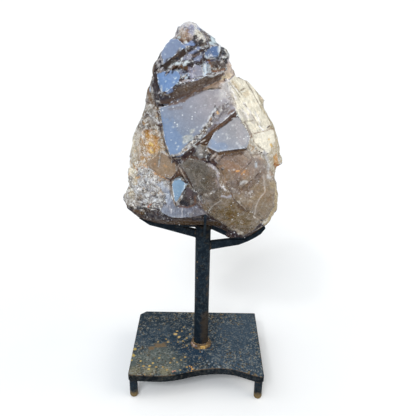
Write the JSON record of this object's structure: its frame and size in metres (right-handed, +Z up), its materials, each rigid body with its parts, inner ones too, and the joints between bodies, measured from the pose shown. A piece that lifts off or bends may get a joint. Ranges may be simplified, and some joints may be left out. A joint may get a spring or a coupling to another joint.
{
  "type": "smoky quartz crystal on stand",
  "caption": "Large rough smoky quartz crystal with stepped flat faces, resting in the bar cradle of a welded iron post stand on a footed plate.",
  "frame": {"origin": "on the surface the feet stand on, under the middle of the whole object's box", "axes": "+Z up; the crystal's great face and the plate's wavy edge look towards -Y; +X to the viewer's right"},
  "size_m": [0.2218, 0.1734, 0.528],
  "materials": {
    "quartz": "satin",
    "painted_iron": "worn satin paint",
    "weld": "rough, rusted"
  },
  "bodies": {
    "root": {"smoky_quartz": "quartz", "base_plate": "painted_iron", "foot_front_left": "painted_iron", "foot_front_right": "painted_iron", "foot_back_left": "painted_iron", "foot_back_right": "painted_iron", "post": "painted_iron", "post_weld": "weld", "left_rail": "painted_iron", "left_arm": "painted_iron", "right_rail": "painted_iron", "right_arm": "painted_iron", "front_prong": "painted_iron", "back_prong": "painted_iron"}
  },
  "joints": []
}
